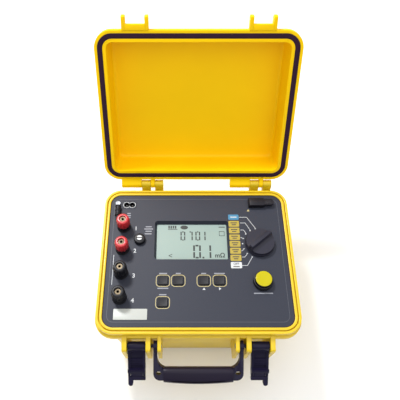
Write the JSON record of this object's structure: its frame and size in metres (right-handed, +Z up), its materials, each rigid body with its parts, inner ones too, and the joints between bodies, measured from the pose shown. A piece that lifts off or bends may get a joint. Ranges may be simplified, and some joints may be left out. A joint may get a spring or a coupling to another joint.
{
  "type": "micro ohmmeter",
  "caption": "Portable micro ohmmeter in a yellow hard case with a hinged lid, a grey control panel, four screw-cap terminals, a selector knob, a start button, latches and a handle.",
  "frame": {"origin": "centre of the case's underside, on the plane of the rubber feet", "axes": "+Z up, +Y to the hinged back, +X to the right seen from the front"},
  "size_m": [0.277, 0.4122, 0.3643],
  "materials": {
    "case_yellow": "satin",
    "black_rubber": "matte",
    "panel_grey": "matte",
    "black_plastic": "satin",
    "dark_plastic": "satin",
    "latch_plastic": "satin",
    "red_plastic": "gloss",
    "button_plastic": "gloss",
    "key_rubber": "matte",
    "white_label": "gloss",
    "display_glass": "clear",
    "display_cell": "satin",
    "board_green": "satin",
    "steel": "brushed",
    "brass": "polished",
    "aluminium": "satin",
    "cell_wrap": "gloss",
    "core_iron": "matte",
    "lead_red": "matte"
  },
  "bodies": {
    "case": {"lower_shell": "case_yellow", "rim_frame": "case_yellow", "front_ears": "case_yellow", "hinge_leaves": "case_yellow", "rubber_feet": "black_rubber", "case_screws": "steel", "hinge_pins": "steel", "pivot_pins": "steel", "front_panel": "panel_grey", "panel_seal": "black_rubber", "lcd_window": "display_glass", "lcd_module": "display_cell", "display_board": "board_green", "key_board": "board_green", "tact_switches": "black_plastic", "main_board": "board_green", "board_standoffs": "brass", "heat_sink": "aluminium", "battery_pack": "cell_wrap", "battery_bracket": "steel", "charger_transformer": "core_iron", "rotary_switch": "dark_plastic", "start_switch": "dark_plastic", "start_collar": "black_plastic", "post_bases": "black_plastic", "post_studs": "brass", "post_nuts": "steel", "post_leads": "lead_red", "mains_inlet": "black_plastic", "inlet_pins": "brass", "inlet_dust_plug": "black_rubber", "strap_screw": "steel", "fuse_holder": "black_plastic", "fuse_link": "display_glass", "port_block": "dark_plastic", "label_plate": "white_label"},
    "lid": {"lid_shell": "case_yellow", "lid_gasket": "black_rubber"},
    "handle": {"handle_frame": "latch_plastic", "handle_grip": "latch_plastic"},
    "latch_left_body": {"latch_left": "latch_plastic", "trigger_pin_left": "steel"},
    "latch_right_body": {"latch_right": "latch_plastic", "trigger_pin_right": "steel"},
    "trigger_left": {"latch_trigger_left": "dark_plastic"},
    "trigger_right": {"latch_trigger_right": "dark_plastic"},
    "selector": {"selector_knob": "dark_plastic", "selector_shaft": "steel"},
    "start": {"start_button": "button_plastic"},
    "store": {"key_store": "key_rubber"},
    "recall": {"key_recall": "key_rubber"},
    "up": {"key_up": "key_rubber"},
    "side": {"key_side": "key_rubber"},
    "clear": {"key_clear": "key_rubber"},
    "current_cap_1": {"cap_current_1": "red_plastic"},
    "potential_cap_1": {"cap_potential_1": "red_plastic"},
    "potential_cap_2": {"cap_potential_2": "black_plastic"},
    "current_cap_2": {"cap_current_2": "black_plastic"},
    "fuse_closure": {"fuse_cap": "black_plastic"},
    "port_flap": {"port_cover": "black_rubber"}
  },
  "joints": [
    {"name": "lid_hinge", "type": "hinge", "parent": "case", "child": "lid", "pos_m": [0, 0.12, 0.139], "axis": [1, 0, 0], "range_deg": [0, 115.5]},
    {"name": "handle_swing", "type": "hinge", "parent": "case", "child": "handle", "pos_m": [0, -0.12, 0.113], "axis": [-1, 0, 0], "range_deg": [-18, 124]},
    {"name": "latch_left_swing", "type": "hinge", "parent": "case", "child": "latch_left_body", "pos_m": [-0.082, -0.12, 0.113], "axis": [-1, 0, 0], "range_deg": [-45, 130]},
    {"name": "latch_right_swing", "type": "hinge", "parent": "case", "child": "latch_right_body", "pos_m": [0.082, -0.12, 0.113], "axis": [-1, 0, 0], "range_deg": [-45, 130]},
    {"name": "trigger_left_squeeze", "type": "hinge", "parent": "latch_left_body", "child": "trigger_left", "pos_m": [-0.082, -0.14948, 0.08435], "axis": [1, 0, 0], "range_deg": [0, 18], "stiffness_Nm_per_rad": 0.02, "springref_deg": -17.19},
    {"name": "trigger_right_squeeze", "type": "hinge", "parent": "latch_right_body", "child": "trigger_right", "pos_m": [0.082, -0.14948, 0.08435], "axis": [1, 0, 0], "range_deg": [0, 18], "stiffness_Nm_per_rad": 0.02, "springref_deg": -17.19},
    {"name": "selector_turn", "type": "hinge", "parent": "case", "child": "selector", "pos_m": [0.09, 0.0205, 0.1335], "axis": [0, 0, 1], "range_deg": [-120, 20]},
    {"name": "start_press", "type": "slide", "parent": "case", "child": "start", "axis": [0, 0, -1], "range_m": [0, 0.0025], "stiffness_N_per_m": 600, "springref_m": -0.002},
    {"name": "store_press", "type": "slide", "parent": "case", "child": "store", "axis": [0, 0, -1], "range_m": [0, 0.001], "stiffness_N_per_m": 500, "springref_m": -0.001},
    {"name": "recall_press", "type": "slide", "parent": "case", "child": "recall", "axis": [0, 0, -1], "range_m": [0, 0.001], "stiffness_N_per_m": 500, "springref_m": -0.001},
    {"name": "up_press", "type": "slide", "parent": "case", "child": "up", "axis": [0, 0, -1], "range_m": [0, 0.001], "stiffness_N_per_m": 500, "springref_m": -0.001},
    {"name": "side_press", "type": "slide", "parent": "case", "child": "side", "axis": [0, 0, -1], "range_m": [0, 0.001], "stiffness_N_per_m": 500, "springref_m": -0.001},
    {"name": "clear_press", "type": "slide", "parent": "case", "child": "clear", "axis": [0, 0, -1], "range_m": [0, 0.001], "stiffness_N_per_m": 500, "springref_m": -0.001},
    {"name": "current_cap_1_lift", "type": "slide", "parent": "case", "child": "current_cap_1", "axis": [0, 0, 1], "range_m": [0, 0.004]},
    {"name": "potential_cap_1_lift", "type": "slide", "parent": "case", "child": "potential_cap_1", "axis": [0, 0, 1], "range_m": [0, 0.004]},
    {"name": "potential_cap_2_lift", "type": "slide", "parent": "case", "child": "potential_cap_2", "axis": [0, 0, 1], "range_m": [0, 0.004]},
    {"name": "current_cap_2_lift", "type": "slide", "parent": "case", "child": "current_cap_2", "axis": [0, 0, 1], "range_m": [0, 0.004]},
    {"name": "fuse_cap_turn", "type": "hinge", "parent": "case", "child": "fuse_closure", "pos_m": [-0.0823, 0.0265, 0.1335], "axis": [0, 0, 1], "range_deg": [0, 90]},
    {"name": "port_cover_flap", "type": "hinge", "parent": "case", "child": "port_flap", "pos_m": [0.0791, 0.0868, 0.1379], "axis": [0, -1, 0], "range_deg": [0, 110]}
  ]
}
